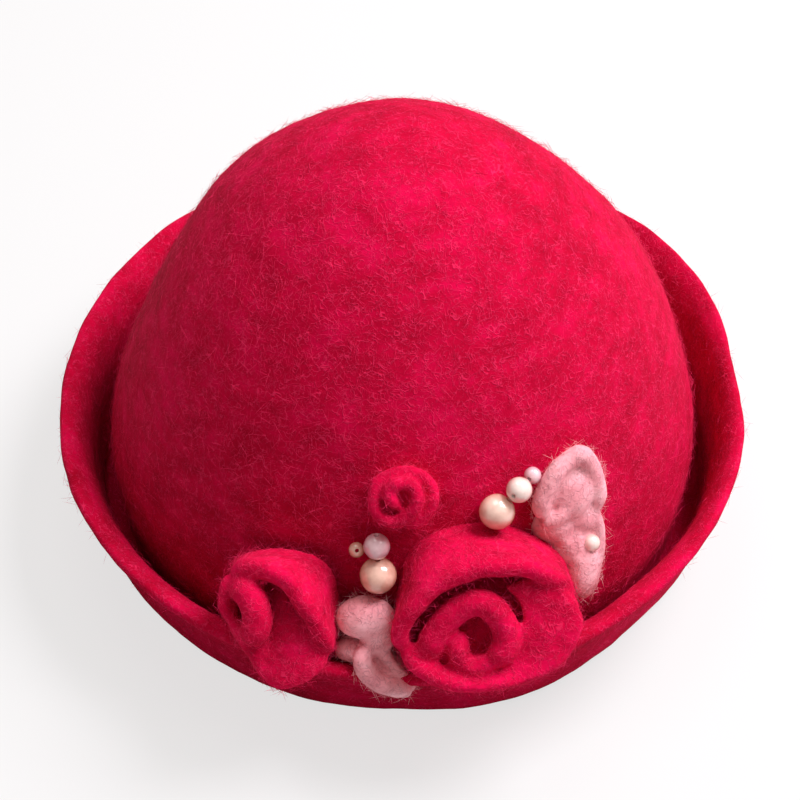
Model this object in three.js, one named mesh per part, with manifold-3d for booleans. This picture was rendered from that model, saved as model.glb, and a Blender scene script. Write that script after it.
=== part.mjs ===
// Crimson wool-felt hat: a domed crown and a turned-up brim felted in one piece,
// with rolled felt roses, pink felt flowers and drilled pearl beads sewn to its front.
// Millimetres, +Z up. The wearer looks along -Y.
// The origin is the middle of the ring that the hat rests on.
import * as THREE from "three";
import { mergeVertices } from "three/addons/utils/BufferGeometryUtils.js";
import Module from "manifold-3d";

const wasm = await Module();
wasm.setup();

// ---------------------------------------------------------------- driving dimensions
const FELT = 3; // wall of the hat's felt
const PETAL = 2.8; // wall of the flowers' felt
const GAP = 0.3; // clearance kept between neighbouring pieces
const CROWN_HEIGHT = 130.5; // from the base to the middle of the crown's wall at its top
const WIDEST_LEVEL = 25; // height at which the crown is widest
const DOME_ROUND = 1.8; // how fast the dome widens below its top: 2 is an ellipse, and less is more pointed
const DOME_RISE = 1.6; // how full its sides stand: 2 is an ellipse, and less is flatter
const TUCK = 2; // how far the crown draws in between its widest level and the fold
const FLATTENED = 0.4; // how much of the fold's round underside is pressed flat by the hat's weight
const HEM = 8; // how deep a flower's felt starts below the crown before it is trimmed to it
const DRILLED = 1.1; // bore of the pearl beads
const MERGED = 1e-4; // points nearer than this are one point
const SLIVER = 0.1; // smallest detail kept where a flower is trimmed

// The crown and the brim at points round the hat. Azimuth 0 is the wearer's left, +X, and -90 the front.
// crown: the crown's radius at its widest, mid-wall. rim: the rim's outer radius. height: the rim's height.
// gutter: the middle of the fold's turn, from wall to wall. curl: how far the lip turns over outwards.
const AROUND = [
  { azimuth: -90, crown: 88.7, rim: 108, height: 33.5, gutter: 7.4, curl: 8 },
  { azimuth: -75, crown: 88.7, rim: 108.5, height: 33.5, gutter: 9.2, curl: 8 },
  { azimuth: -60, crown: 88.7, rim: 107.5, height: 36.5, gutter: 8.2, curl: 8 },
  { azimuth: -45, crown: 88.7, rim: 107, height: 39.5, gutter: 6, curl: 7 },
  { azimuth: -28, crown: 88.7, rim: 105.5, height: 40, gutter: 8.5, curl: 5 },
  { azimuth: -12, crown: 88.7, rim: 104.5, height: 40, gutter: 9, curl: 5 },
  { azimuth: 0, crown: 88.7, rim: 102.8, height: 40, gutter: 9, curl: 4 },
  { azimuth: 12, crown: 88.7, rim: 104.6, height: 40, gutter: 9, curl: 4 },
  { azimuth: 30, crown: 88.7, rim: 110, height: 40, gutter: 9, curl: 5 },
  { azimuth: 45, crown: 88.7, rim: 112, height: 40, gutter: 9, curl: 6 },
  { azimuth: 90, crown: 88.7, rim: 109, height: 40, gutter: 9, curl: 6 },
  { azimuth: 130, crown: 88.7, rim: 110.5, height: 40, gutter: 9, curl: 6 },
  { azimuth: 150, crown: 88.7, rim: 107, height: 40, gutter: 9, curl: 5 },
  { azimuth: 180, crown: 88.7, rim: 104, height: 40, gutter: 9, curl: 5 },
  { azimuth: 200, crown: 88.7, rim: 105, height: 40, gutter: 8, curl: 6 },
  { azimuth: 225, crown: 88.7, rim: 107, height: 39.5, gutter: 6.5, curl: 7 },
  { azimuth: 247, crown: 88.7, rim: 107, height: 36, gutter: 7.2, curl: 8 },
];

// Soft dents and swellings of the crown: how far the felt is pushed out, and over what part of the crown.
const DENTS = [
  { azimuth: 142, level: 102, push: 2, wide: 22, tall: 16 },
  { azimuth: 170, level: 66, push: -2.4, wide: 26, tall: 24 },
  { azimuth: 48, level: 100, push: -1.2, wide: 20, tall: 14 },
  { azimuth: 22, level: 78, push: 2, wide: 22, tall: 16 },
];

const turned = THREE.MathUtils.degToRad;

// The value of one column of a table at a key between its rows, on a smooth curve through them.
function between(rows, key, column, at, period = 0) {
  const last = rows.length - 1;
  const row = (i) => {
    if (!period) return rows[Math.min(Math.max(i, 0), last)];
    const lap = Math.floor(i / rows.length);
    const found = rows[i - lap * rows.length];
    return { ...found, [key]: found[key] + lap * period };
  };
  const slope = (i) => {
    const [before, after] = [row(i - 1), row(i + 1)];
    return (after[column] - before[column]) / (after[key] - before[key]);
  };
  let i = 0;
  while (i < (period ? last : last - 1) && row(i + 1)[key] <= at) i += 1;
  const [a, b] = [row(i), row(i + 1)];
  const span = b[key] - a[key];
  const t = Math.min(Math.max((at - a[key]) / span, 0), 1);
  const h = 2 * t ** 3 - 3 * t ** 2 + 1;
  return (
    h * a[column] +
    (1 - h) * b[column] +
    (t ** 3 - 2 * t ** 2 + t) * span * slope(i) +
    (t ** 3 - t ** 2) * span * slope(i + 1)
  );
}

// ---------------------------------------------------------------- the hat's body
const DOME_STEPS = 12;
const TUCK_STEPS = 3;
const FOLD_STEPS = 7;
const BRIM_STEPS = 7;
const AZIMUTH_STEPS = 60;
const BRIM_LEAN = 1; // how far the brim leans out over its lower half
const BRIM_WAIST = 0.45; // how far up the brim stays upright before it opens, of its height
const LIP_DROP = 2; // how far below its edge the lip starts to turn over

const around = (column, azimuth) => between(AROUND, "azimuth", column, azimuth, 360);

// The middle of the crown's wall at one azimuth: rise 0 is the top of the crown, rise 1 its widest level.
function dome(azimuth, rise) {
  const angle = (rise * Math.PI) / 2;
  const level = WIDEST_LEVEL + (CROWN_HEIGHT - WIDEST_LEVEL) * Math.cos(angle) ** (2 / DOME_RISE);
  const round = around("crown", azimuth) * Math.sin(angle) ** (2 / DOME_ROUND);
  const pushed = DENTS.reduce((sum, dent) => {
    const away = THREE.MathUtils.euclideanModulo(azimuth - dent.azimuth + 180, 360) - 180;
    const [across, up] = [away / dent.wide, (level - dent.level) / dent.tall];
    return sum + dent.push * Math.exp(-(across ** 2) - up ** 2);
  }, 0);
  return [round + pushed, level];
}

// The middle of the wall at one azimuth, from the apex out over the crown, round the fold and up the brim.
function wallSection(azimuth) {
  const turn = around("gutter", azimuth) / 2;
  const widest = around("crown", azimuth);
  const foot = widest - TUCK;
  const foldLevel = turn + FELT / 2 - FLATTENED;
  const points = [];
  for (let i = 0; i <= DOME_STEPS; i += 1) {
    points.push(dome(azimuth, i / DOME_STEPS));
  }
  for (let i = 1; i <= TUCK_STEPS; i += 1) {
    const down = i / TUCK_STEPS;
    points.push([
      widest - (TUCK * (1 - Math.cos(Math.PI * down))) / 2,
      WIDEST_LEVEL + (foldLevel - WIDEST_LEVEL) * down,
    ]);
  }
  for (let i = 1; i <= FOLD_STEPS; i += 1) {
    const a = Math.PI * (1 + i / FOLD_STEPS);
    points.push([foot + turn + turn * Math.cos(a), foldLevel + turn * Math.sin(a)]);
  }
  const [root, lip] = [foot + 2 * turn, around("rim", azimuth) - FELT / 2];
  const top = around("height", azimuth) - FELT / 2;
  const brim = new THREE.CubicBezierCurve(
    new THREE.Vector2(root, foldLevel),
    new THREE.Vector2(root + BRIM_LEAN, foldLevel + BRIM_WAIST * (top - foldLevel)),
    new THREE.Vector2(lip - around("curl", azimuth), top - LIP_DROP),
    new THREE.Vector2(lip, top),
  );
  for (let i = 1; i <= BRIM_STEPS; i += 1) {
    points.push(brim.getPoint(i / BRIM_STEPS).toArray());
  }
  return points;
}

// The closed outline of a wall along its middle line: up its left side, round its edge and down its right.
function outlined(middle, half, floor = -Infinity) {
  const [left, right] = [[], []];
  middle.forEach(([r, z], i) => {
    const [before, after] = [middle[Math.max(i - 1, 0)], middle[Math.min(i + 1, middle.length - 1)]];
    const along = new THREE.Vector2(after[0] - before[0], after[1] - before[1]).normalize();
    left.push([r - along.y * half, z + along.x * half]);
    right.unshift([r + along.y * half, Math.max(z - along.x * half, floor)]);
  });
  const [end, before] = [middle.at(-1), middle.at(-2)];
  const out = Math.atan2(end[1] - before[1], end[0] - before[0]);
  const edge = [45, 0, -45].map((a) => [
    end[0] + half * Math.cos(out + turned(a)),
    end[1] + half * Math.sin(out + turned(a)),
  ]);
  return [...left, ...edge, ...right];
}

// A closed surface over rings of points. Round rings share their first and their last point, at two poles;
// open ones are a strip whose two ends are capped.
function skinned(rings, poles) {
  const [count, length] = [rings.length, rings[0].length];
  const position = rings.flat(2);
  const at = (j, i) => (poles && (i === 0 || i === length - 1) ? i : (j % count) * length + (i % length));
  const index = [];
  for (let j = 0; j < (poles ? count : count - 1); j += 1) {
    for (let i = 0; i < (poles ? length - 1 : length); i += 1) {
      index.push(at(j, i), at(j, i + 1), at(j + 1, i + 1));
      index.push(at(j, i), at(j + 1, i + 1), at(j + 1, i));
    }
  }
  if (!poles) {
    for (let i = 1; i < length / 2; i += 1) {
      for (const [j, flip] of [[0, false], [count - 1, true]]) {
        const [a, b, c, d] = [at(j, i - 1), at(j, i), at(j, length - 1 - i), at(j, length - i)];
        const quad = flip ? [a, b, c, a, c, d] : [a, c, b, a, d, c];
        index.push(...quad);
      }
    }
  }
  const kept = [];
  for (let i = 0; i < index.length; i += 3) {
    const [a, b, c] = index.slice(i, i + 3);
    if (a !== b && b !== c && c !== a) kept.push(a, b, c);
  }
  const geometry = new THREE.BufferGeometry();
  geometry.setAttribute("position", new THREE.Float32BufferAttribute(position, 3));
  geometry.setIndex(kept);
  return mergeVertices(geometry, MERGED);
}

function hatBody(grow = 0) {
  const rings = [];
  for (let j = 0; j < AZIMUTH_STEPS; j += 1) {
    const azimuth = -90 + (j * 360) / AZIMUTH_STEPS;
    const [c, s] = [Math.cos(turned(azimuth)), Math.sin(turned(azimuth))];
    const outline = outlined(wallSection(azimuth), FELT / 2 + grow, -grow);
    outline[0] = [0, CROWN_HEIGHT + FELT / 2 + grow];
    outline[outline.length - 1] = [0, CROWN_HEIGHT - FELT / 2 - grow];
    rings.push(outline.map(([r, z]) => [r * c, r * s, z]));
  }
  return skinned(rings, true);
}

// ---------------------------------------------------------------- places on the crown
const HALVINGS = 17; // enough to find a level on the crown to a thousandth of a millimetre
const NEARBY = 0.01; // the stretch of the crown, of its whole rise, that a slope is measured over

// A point at a height above the crown's outer surface, and the way the surface faces there.
function onCrown(azimuth, level, above = 0) {
  let [low, high] = [0, 1];
  for (let i = 0; i < HALVINGS; i += 1) {
    const rise = (low + high) / 2;
    if (dome(azimuth, rise)[1] > level) low = rise;
    else high = rise;
  }
  const [a, b] = [dome(azimuth, low - NEARBY), dome(azimuth, low + NEARBY)];
  const facing = new THREE.Vector2(a[1] - b[1], b[0] - a[0]).normalize();
  const [c, s] = [Math.cos(turned(azimuth)), Math.sin(turned(azimuth))];
  const [r, z] = dome(azimuth, low);
  const normal = new THREE.Vector3(facing.x * c, facing.x * s, facing.y);
  return { point: new THREE.Vector3(r * c, r * s, z).addScaledVector(normal, FELT / 2 + above), normal };
}

// A place whose own Z points along an azimuth and an elevation, with its X level.
function facingOut(point, azimuth, elevation) {
  const place = new THREE.Object3D();
  place.position.copy(point);
  place.rotation.order = "ZXY";
  place.rotation.set(turned(90 - elevation), 0, turned(azimuth + 90));
  place.updateMatrixWorld();
  return place;
}

// ---------------------------------------------------------------- rolled flowers
// Each is one strip of felt rolled up in a spiral. A row is the strip at one turn of the roll, in degrees
// anticlockwise as seen from outside. root: its radius at the foot. lip: its radius at the lip.
// height: how far the lip stands from the crown.
// flare: how far the lip turns over outwards, or inwards where it is less than 0.
const LARGE_ROSE = [
  { turn: 110, root: 1.6, lip: 3.4, height: 21.5, flare: 0.3 },
  { turn: 176, root: 2.2, lip: 5.2, height: 22.5, flare: 1.5 },
  { turn: 241, root: 4, lip: 9, height: 23.5, flare: 3 },
  { turn: 308, root: 5.6, lip: 9.8, height: 24, flare: 3 },
  { turn: 383, root: 6.5, lip: 9.2, height: 24, flare: 2.5 },
  { turn: 431, root: 7.2, lip: 11, height: 24, flare: 2.5 },
  { turn: 483, root: 8, lip: 9.6, height: 23, flare: 1 },
  { turn: 532, root: 9, lip: 11, height: 23.5, flare: 2 },
  { turn: 570, root: 10.5, lip: 14.2, height: 24, flare: 3 },
  { turn: 616, root: 11.5, lip: 16.5, height: 24.5, flare: 4 },
  { turn: 662, root: 12, lip: 17.5, height: 25, flare: 5 },
  { turn: 689, root: 13, lip: 21, height: 25, flare: 5 },
  { turn: 715, root: 15, lip: 25.5, height: 25, flare: 5 },
  { turn: 747, root: 17.5, lip: 26, height: 24.5, flare: 3 },
  { turn: 779, root: 19.5, lip: 20.5, height: 25, flare: 0 },
  { turn: 830, root: 20.5, lip: 13.8, height: 27, flare: -2 },
  { turn: 865, root: 20, lip: 13.8, height: 26.5, flare: -1.5 },
  { turn: 900, root: 19.5, lip: 17.3, height: 25, flare: 0 },
  { turn: 950, root: 19, lip: 21, height: 22.5, flare: 1 },
];
const LEFT_ROSE = [
  { turn: 150, root: 1.6, lip: 2.6, height: 18, flare: 0.3 },
  { turn: 240, root: 2.4, lip: 4.2, height: 19, flare: 1 },
  { turn: 330, root: 3.6, lip: 7.5, height: 20, flare: 2 },
  { turn: 390, root: 4.4, lip: 8, height: 21, flare: 2 },
  { turn: 450, root: 5, lip: 7.5, height: 20.5, flare: 2 },
  { turn: 510, root: 5.4, lip: 6.8, height: 19.5, flare: 1 },
  { turn: 560, root: 5.6, lip: 7.5, height: 19, flare: 1 },
  { turn: 610, root: 6.2, lip: 7.5, height: 21, flare: 1 },
  { turn: 660, root: 8, lip: 10.5, height: 24, flare: 2 },
  { turn: 690, root: 10, lip: 17, height: 27, flare: 3 },
  { turn: 715, root: 12.5, lip: 23, height: 27, flare: 3 },
  { turn: 745, root: 14.5, lip: 22, height: 24, flare: 1.5 },
  { turn: 775, root: 13.5, lip: 16.5, height: 21.5, flare: 0 },
  { turn: 810, root: 11, lip: 12.5, height: 20, flare: -1 },
  { turn: 845, root: 9.8, lip: 10.8, height: 19, flare: 0 },
  { turn: 880, root: 8.7, lip: 9.8, height: 17.5, flare: 0.5 },
];
const SMALL_ROSE = [
  { turn: 60, root: 1.5, lip: 2.4, height: 7, flare: 0.3 },
  { turn: 150, root: 2, lip: 3.2, height: 8, flare: 0.8 },
  { turn: 250, root: 2.8, lip: 4.6, height: 8.5, flare: 1.5 },
  { turn: 340, root: 3.4, lip: 4.6, height: 9, flare: 1.5 },
  { turn: 410, root: 4.4, lip: 5.8, height: 9, flare: 1.5 },
  { turn: 480, root: 5.2, lip: 7, height: 9, flare: 1.5 },
  { turn: 540, root: 5.8, lip: 7.8, height: 9, flare: 2 },
  { turn: 610, root: 6.3, lip: 8, height: 8.8, flare: 2 },
  { turn: 670, root: 6.7, lip: 8.2, height: 8.4, flare: 2 },
  { turn: 710, root: 7, lip: 9, height: 8, flare: 2 },
  { turn: 760, root: 7.8, lip: 9.8, height: 7.5, flare: 2 },
  { turn: 800, root: 8.4, lip: 9.6, height: 7, flare: 1.5 },
];
const BLOSSOM = [
  { turn: 200, root: 1.6, lip: 3.5, height: 8, flare: 0.5 },
  { turn: 290, root: 2.4, lip: 5.5, height: 9, flare: 1 },
  { turn: 360, root: 3.2, lip: 6, height: 10, flare: 1 },
  { turn: 420, root: 4.5, lip: 12, height: 10, flare: 2 },
  { turn: 470, root: 5, lip: 12.5, height: 12, flare: 2 },
  { turn: 530, root: 5.5, lip: 9.5, height: 14, flare: 2 },
  { turn: 585, root: 6, lip: 10, height: 14, flare: 2 },
  { turn: 605, root: 6.5, lip: 14.5, height: 13.5, flare: 3 },
  { turn: 640, root: 6.5, lip: 10, height: 13, flare: 2 },
  { turn: 710, root: 7.5, lip: 9.5, height: 12, flare: 2 },
  { turn: 735, root: 9, lip: 16, height: 9.5, flare: 2 },
  { turn: 760, root: 10, lip: 22, height: 8.5, flare: 3 },
  { turn: 790, root: 11, lip: 26, height: 8, flare: 3 },
  { turn: 825, root: 11, lip: 22, height: 8.5, flare: 2 },
  { turn: 850, root: 10, lip: 14, height: 9, flare: 1 },
];
const BUD = [
  { turn: 60, root: 1.6, lip: 2.6, height: 16, flare: 0.3 },
  { turn: 170, root: 2.4, lip: 4, height: 18, flare: 1 },
  { turn: 250, root: 3.4, lip: 6, height: 22, flare: 2 },
  { turn: 290, root: 4, lip: 8.5, height: 26, flare: 3 },
  { turn: 330, root: 4.6, lip: 8, height: 25, flare: 2 },
  { turn: 400, root: 5, lip: 6.5, height: 19, flare: 1 },
  { turn: 450, root: 6.5, lip: 7.5, height: 17, flare: 0 },
  { turn: 500, root: 7.5, lip: 8.5, height: 16, flare: -0.5 },
  { turn: 560, root: 7.5, lip: 8.5, height: 17, flare: 0.5 },
  { turn: 600, root: 7, lip: 8.5, height: 19, flare: 1 },
];

const STEP_DEGREES = 18;
const PETAL_STEPS = 5;
const END_TAPER = [0.35, 0.8]; // thickness of the strip's first and last sections against the rest
const CUPPED = { out: 0.3, up: 0.45 }; // where a petal bends outwards, of its way from root to lip
const TURN_OVER = 0.85; // where its lip begins to turn over, of its height

function rolled(rows, grow = 0) {
  const [first, last] = [rows[0].turn, rows.at(-1).turn];
  const count = Math.round((last - first) / STEP_DEGREES);
  const rings = [];
  for (let j = 0; j <= count; j += 1) {
    const turn = first + ((last - first) * j) / count;
    const row = (column) => between(rows, "turn", column, turn);
    const [root, lip, height] = [row("root"), row("lip"), row("height")];
    const petal = new THREE.CubicBezierCurve(
      new THREE.Vector2(root, -HEM),
      new THREE.Vector2(root + CUPPED.out * (lip - root), CUPPED.up * height),
      new THREE.Vector2(lip - row("flare"), TURN_OVER * height),
      new THREE.Vector2(lip, height),
    );
    const middle = petal.getPoints(PETAL_STEPS).map((p) => p.toArray());
    const thinned = END_TAPER[Math.min(j, count - j)] ?? 1;
    const outline = outlined(middle, (thinned * PETAL) / 2 + grow);
    const [c, s] = [Math.cos(turned(turn)), Math.sin(turned(turn))];
    rings.push(outline.map(([r, z]) => [r * c, r * s, z]));
  }
  return skinned(rings, false);
}

// ---------------------------------------------------------------- cutting one piece clear of the others
function solidOf(geometry, place = new THREE.Object3D()) {
  const bare = new THREE.BufferGeometry();
  bare.setAttribute("position", geometry.attributes.position.clone());
  bare.setIndex(geometry.index);
  const joined = mergeVertices(bare, MERGED).applyMatrix4(place.matrixWorld);
  return new wasm.Manifold(
    new wasm.Mesh({
      numProp: 3,
      vertProperties: new Float32Array(joined.attributes.position.array),
      triVerts: new Uint32Array(joined.index.array),
    }),
  );
}

function geometryOf(solid) {
  const { vertProperties, triVerts } = solid.getMesh();
  const geometry = new THREE.BufferGeometry();
  geometry.setAttribute("position", new THREE.Float32BufferAttribute(vertProperties, 3));
  geometry.setIndex(Array.from(triVerts));
  return geometry;
}

// The felt of a flower where it doesn't reach into what was sewn on before it.
function trimmed(geometry, place, neighbours) {
  const whole = solidOf(geometry, place);
  const clear = neighbours.reduce((solid, neighbour) => solid.subtract(neighbour), whole);
  const largest = clear.decompose().sort((a, b) => b.volume() - a.volume())[0];
  const back = place.matrixWorld.clone().invert();
  return geometryOf(largest.asOriginal().simplify(SLIVER)).applyMatrix4(back);
}

// ---------------------------------------------------------------- pearl beads
function bead(size, sides) {
  const [radius, bore] = [size / 2, DRILLED / 2];
  const open = Math.asin(bore / radius);
  const steps = sides / 2;
  const profile = [];
  for (let i = 0; i <= steps; i += 1) {
    const a = open + ((Math.PI - 2 * open) * i) / steps;
    profile.push(new THREE.Vector2(radius * Math.sin(a), -radius * Math.cos(a)));
  }
  profile.push(profile[0].clone());
  const geometry = new THREE.LatheGeometry(profile, sides);
  geometry.deleteAttribute("normal");
  geometry.deleteAttribute("uv");
  return mergeVertices(geometry, MERGED);
}

// ---------------------------------------------------------------- the assembly
const finishes = {
  crimson: new THREE.MeshStandardMaterial({ color: "#c00d3a", roughness: 0.95, metalness: 0 }),
  pink: new THREE.MeshStandardMaterial({ color: "#e88b95", roughness: 0.95, metalness: 0 }),
  pearl: new THREE.MeshStandardMaterial({ color: "#f3d3bd", roughness: 0.25, metalness: 0 }),
};

// Flowers in the order in which they are sewn on, each where it sits on the crown and the way it opens.
const FLOWERS = [
  { name: "rose_large", rows: LARGE_ROSE, felt: "crimson", azimuth: -77, level: 46.6, opens: -90, up: 19 },
  { name: "rose_left", rows: LEFT_ROSE, felt: "crimson", azimuth: -110, level: 44.5, opens: -121, up: 15 },
  { name: "rose_small", rows: SMALL_ROSE, felt: "crimson", azimuth: -90, level: 73.5, opens: -90, up: 29 },
  { name: "pink_blossom", rows: BLOSSOM, felt: "pink", azimuth: -62, level: 52, opens: -38, up: 23 },
  { name: "pink_bud", rows: BUD, felt: "pink", azimuth: -94, level: 37, opens: -95, up: 8 },
];

// Pearl beads: size across, where each lies on the crown, how far it is held off it by its neighbours,
// and the number of its facets round.
const BEADS = [
  { name: "pearl_left_large", size: 10, azimuth: -94, level: 52.5, lift: 0, sides: 24 },
  { name: "pearl_left_medium", size: 7.2, azimuth: -94.3, level: 60.5, lift: 2.15, sides: 20 },
  { name: "pearl_left_small", size: 4.4, azimuth: -98.1, level: 57.5, lift: 0, sides: 16 },
  { name: "pearl_right_large", size: 9.6, azimuth: -72.6, level: 66.2, lift: 0, sides: 24 },
  { name: "pearl_right_medium", size: 7, azimuth: -68.5, level: 71, lift: 4.1, sides: 20 },
  { name: "pearl_right_small", size: 4.8, azimuth: -64, level: 71.5, lift: 0.3, sides: 16 },
  { name: "pearl_blossom", size: 5, azimuth: -56, level: 50, lift: 3.8, sides: 16 },
];

const BALL_DETAIL = 3; // how finely the room kept round a bead is divided

const hat = new THREE.Group();

function add(name, geometry, finish, place = new THREE.Object3D()) {
  const mesh = new THREE.Mesh(geometry, finishes[finish]);
  mesh.name = name;
  mesh.position.copy(place.position);
  mesh.quaternion.copy(place.quaternion);
  hat.add(mesh);
}

add("hat_body", hatBody(), "crimson");

const keepClear = [solidOf(hatBody(GAP))];
for (const { name, size, azimuth, level, lift, sides } of BEADS) {
  const { point } = onCrown(azimuth, level, GAP + size / 2 + lift);
  const place = facingOut(point, azimuth, 0);
  add(name, bead(size, sides), "pearl", place);
  keepClear.push(solidOf(new THREE.IcosahedronGeometry(size / 2 + GAP, BALL_DETAIL), place));
}
for (const { name, rows, felt, azimuth, level, opens, up } of FLOWERS) {
  const place = facingOut(onCrown(azimuth, level).point, opens, up);
  add(name, trimmed(rolled(rows), place, keepClear), felt, place);
  keepClear.push(solidOf(rolled(rows, GAP), place));
}

export default hat;
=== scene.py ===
"""Crimson wool felt hat with rolled felt flowers and pearl beads, finished around its fixed frame.

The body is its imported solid, subdivided and given its lumps. The flowers are drawn petal by petal in the
places of theirs, and loose wool fibres grow out of all the felt.
"""

import math

import bmesh
import bpy
import numpy as np
from mathutils import Matrix, Vector, noise


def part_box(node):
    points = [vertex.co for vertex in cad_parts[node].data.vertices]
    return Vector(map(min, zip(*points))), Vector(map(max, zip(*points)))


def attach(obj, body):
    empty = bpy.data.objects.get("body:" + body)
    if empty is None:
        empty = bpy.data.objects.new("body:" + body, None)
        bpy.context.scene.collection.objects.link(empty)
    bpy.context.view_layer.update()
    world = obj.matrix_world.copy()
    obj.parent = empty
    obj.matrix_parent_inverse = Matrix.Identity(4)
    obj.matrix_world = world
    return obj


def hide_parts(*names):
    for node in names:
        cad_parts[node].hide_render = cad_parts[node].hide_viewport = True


bl_info = {
    "name": "Felt hat finisher",
    "version": (1, 0, 0),
    "blender": (4, 5, 0),
    "location": "3D View > Sidebar > Felt Hat",
    "description": "Felt, wool fibres, pearl beads and studio for a felt hat with rolled flowers",
    "category": "Object",
}

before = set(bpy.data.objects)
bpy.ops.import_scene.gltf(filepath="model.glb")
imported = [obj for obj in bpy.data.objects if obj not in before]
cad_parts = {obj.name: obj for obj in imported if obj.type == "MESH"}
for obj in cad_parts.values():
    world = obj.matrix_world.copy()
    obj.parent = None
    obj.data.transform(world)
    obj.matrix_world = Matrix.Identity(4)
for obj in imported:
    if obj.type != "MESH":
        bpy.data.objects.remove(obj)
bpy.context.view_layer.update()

MM = 0.001
BODY = "root"


# ------------------------------------------------------------------------------------------ helpers
def linear(colour):
    """The linear colour, with alpha, of an sRGB hex value."""
    channels = [int(colour[i : i + 2], 16) / 255 for i in (1, 3, 5)]
    return [c / 12.92 if c <= 0.04045 else ((c + 0.055) / 1.055) ** 2.4 for c in channels] + [1.0]


def add(tree, kind, inputs=None, **settings):
    """Adds a node with its settings, and gives each named or numbered input a value or a link."""
    made = tree.nodes.new(kind)
    for key, value in settings.items():
        setattr(made, key, value)
    for key, value in (inputs or {}).items():
        socket = made.inputs[key]
        if isinstance(value, bpy.types.NodeSocket):
            tree.links.new(value, socket)
        else:
            socket.default_value = value
    return made


def link(obj):
    bpy.context.scene.collection.objects.link(obj)
    return obj


def evaluated(obj):
    """Turns an object's modifiers into plain mesh and removes them."""
    depsgraph = bpy.context.evaluated_depsgraph_get()
    mesh = bpy.data.meshes.new_from_object(obj.evaluated_get(depsgraph))
    obj.modifiers.clear()
    obj.data = mesh
    return obj


def points_of(mesh):
    co = np.zeros(len(mesh.vertices) * 3, np.float64)
    mesh.vertices.foreach_get("co", co)
    return co.reshape(-1, 3)


def normals_of(mesh):
    vectors = np.zeros(len(mesh.vertices) * 3, np.float32)
    mesh.vertex_normals.foreach_get("vector", vectors)
    return vectors.reshape(-1, 3).astype(np.float64)


def set_points(mesh, co):
    mesh.vertices.foreach_set("co", co.astype(np.float32).ravel())
    mesh.update()


def lumps(co, wavelength, stretch, seed):
    """Soft noise from -1 to 1 at each point, its wavelength in metres and longer where it is stretched."""
    offset = Vector((seed * 7.3, seed * 3.1, seed * 5.7))
    scale = Vector(1 / (wavelength * s) for s in stretch)
    roughness, gap, octaves = 0.6, 2.1, 2
    return np.array(
        [noise.fractal(Vector(p) * scale + offset, roughness, gap, octaves) for p in co.tolist()]
    )


def blank(name):
    """The empty node tree of a new material."""
    material = bpy.data.materials.new(name)
    material.use_nodes = True
    material.node_tree.nodes.clear()
    return material.node_tree


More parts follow.
